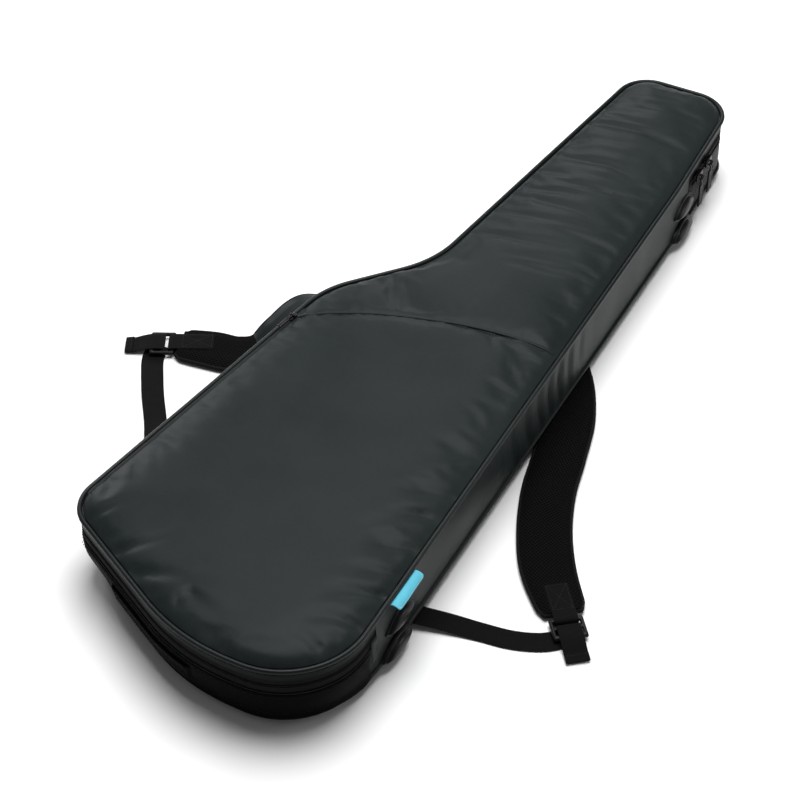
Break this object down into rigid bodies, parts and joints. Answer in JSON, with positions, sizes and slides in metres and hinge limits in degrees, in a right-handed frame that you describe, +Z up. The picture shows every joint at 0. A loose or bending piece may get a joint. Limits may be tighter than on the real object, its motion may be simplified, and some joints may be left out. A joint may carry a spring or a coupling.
{
  "type": "padded guitar gig bag",
  "caption": "Padded soft case for an electric guitar, with a zip-round hinged front, a front pocket, piped edges, bumper feet and backpack straps splayed beside it.",
  "frame": {"origin": "middle of the back face that the bag rests on, halfway along the bag and between its two side walls' nominal lines", "axes": "+X across the bag towards the straight spine wall, +Y along the bag towards the head end, +Z up through the front panel"},
  "size_m": [0.6655, 1.055, 0.1014],
  "materials": {
    "shell_fabric": "dark green-grey smooth coated nylon weave with a soft satin sheen",
    "piping": "fabric-covered piping cord, dark green-grey",
    "webbing": "black woven webbing with stitched ends",
    "air_mesh": "black open air mesh over foam",
    "foam": "charcoal closed-cell foam",
    "lining": "grey brushed tricot lining",
    "zip": "black zip tape with moulded coil teeth",
    "slider_metal": "black painted die-cast zip slider",
    "pull_rubber": "black moulded pull",
    "guard": "black rubberised hard-wearing fabric",
    "foot_leather": "glossy black moulded foot with a stitched rim",
    "buckle": "black satin acetal",
    "label": "light blue woven label, blank"
  },
  "bodies": {
    "base": {"back_panel": "shell_fabric", "base_piping": "piping", "base_gusset": "shell_fabric", "base_floor_foam": "foam", "base_wall_foam": "foam", "base_lining": "lining", "base_zip_tape": "zip", "bottom_guard": "guard", "bottom_grip": "webbing", "foot_head_upper": "foot_leather", "foot_head_lower": "foot_leather", "foot_tail_upper": "foot_leather", "foot_tail_lower": "foot_leather", "zip_stop_head": "shell_fabric", "zip_stop_tail": "shell_fabric", "spine_hinge_tape": "lining", "neck_cradle": "foam", "neck_strap": "webbing", "tail_block": "foam", "strap_yoke": "shell_fabric", "strap_right_root": "shell_fabric", "anchor_right": "webbing", "strap_left_root": "shell_fabric", "anchor_left": "webbing"},
    "lid": {"front_panel": "shell_fabric", "lid_piping": "piping", "lid_gusset": "shell_fabric", "lid_foam": "foam", "lid_lining": "lining", "lid_zip_tape": "zip", "pocket_panel": "shell_fabric", "pocket_zip": "zip", "label_tab": "label"},
    "slider_1": {"slider_1": "slider_metal"},
    "pull_1": {"pull_1": "pull_rubber"},
    "slider_2": {"slider_2": "slider_metal"},
    "pull_2": {"pull_2": "pull_rubber"},
    "pocket_slider": {"pocket_slider": "slider_metal"},
    "pocket_pull": {"pocket_pull": "slider_metal"},
    "strap_right": {"strap_right_cover": "shell_fabric", "strap_right_mesh": "air_mesh", "strap_right_tab": "webbing", "buckle_right": "buckle", "webbing_right": "webbing"},
    "tail_right": {"tail_right": "webbing"},
    "strap_left": {"strap_left_cover": "shell_fabric", "strap_left_mesh": "air_mesh", "strap_left_tab": "webbing", "buckle_left": "buckle", "webbing_left": "webbing"},
    "tail_left": {"tail_left": "webbing"}
  },
  "joints": [
    {"name": "lid_hinge", "type": "hinge", "parent": "base", "child": "lid", "pos_m": [0.176, 0, 0.065], "axis": [0, 1, 0], "range_deg": [0, 170]},
    {"name": "slider_1_slide", "type": "slide", "parent": "base", "child": "slider_1", "axis": [-0.0368, 0.9993, 0], "range_m": [-0.008, 0.005]},
    {"name": "pull_1_swing", "type": "hinge", "parent": "slider_1", "child": "pull_1", "pos_m": [0.17129, 0.40332, 0.064], "axis": [0.0368, -0.9993, 0], "range_deg": [0, 150]},
    {"name": "slider_2_slide", "type": "slide", "parent": "base", "child": "slider_2", "axis": [-0.0368, 0.9993, 0], "range_m": [-0.005, 0.025]},
    {"name": "pull_2_swing", "type": "hinge", "parent": "slider_2", "child": "pull_2", "pos_m": [0.17015, 0.43432, 0.064], "axis": [0.0368, -0.9993, 0], "range_deg": [0, 150]},
    {"name": "pocket_zip_slide", "type": "slide", "parent": "lid", "child": "pocket_slider", "axis": [0.1663, 0.9861, 0], "range_m": [-0.28, 0]},
    {"name": "pocket_pull_swing", "type": "hinge", "parent": "pocket_slider", "child": "pocket_pull", "pos_m": [-0.1188, -0.07, 0.0973], "axis": [-0.9861, 0.1663, 0], "range_deg": [0, 150]},
    {"name": "strap_right_fold", "type": "hinge", "parent": "base", "child": "strap_right", "pos_m": [0.172, -0.1, 0.0105], "axis": [0, 1, 0], "range_deg": [-80, 0]},
    {"name": "tail_right_lift", "type": "hinge", "parent": "strap_right", "child": "tail_right", "pos_m": [0.30639, -0.27146, 0.0087], "axis": [-0.788, -0.6157, 0], "range_deg": [0, 60]},
    {"name": "strap_left_fold", "type": "hinge", "parent": "base", "child": "strap_left", "pos_m": [-0.196, -0.05, 0.0105], "axis": [-0.0366, -0.9993, 0], "range_deg": [-80, 0]},
    {"name": "tail_left_lift", "type": "hinge", "parent": "strap_left", "child": "tail_left", "pos_m": [-0.27679, -0.08826, 0.0087], "axis": [-0.4384, 0.8988, 0], "range_deg": [0, 60]}
  ]
}
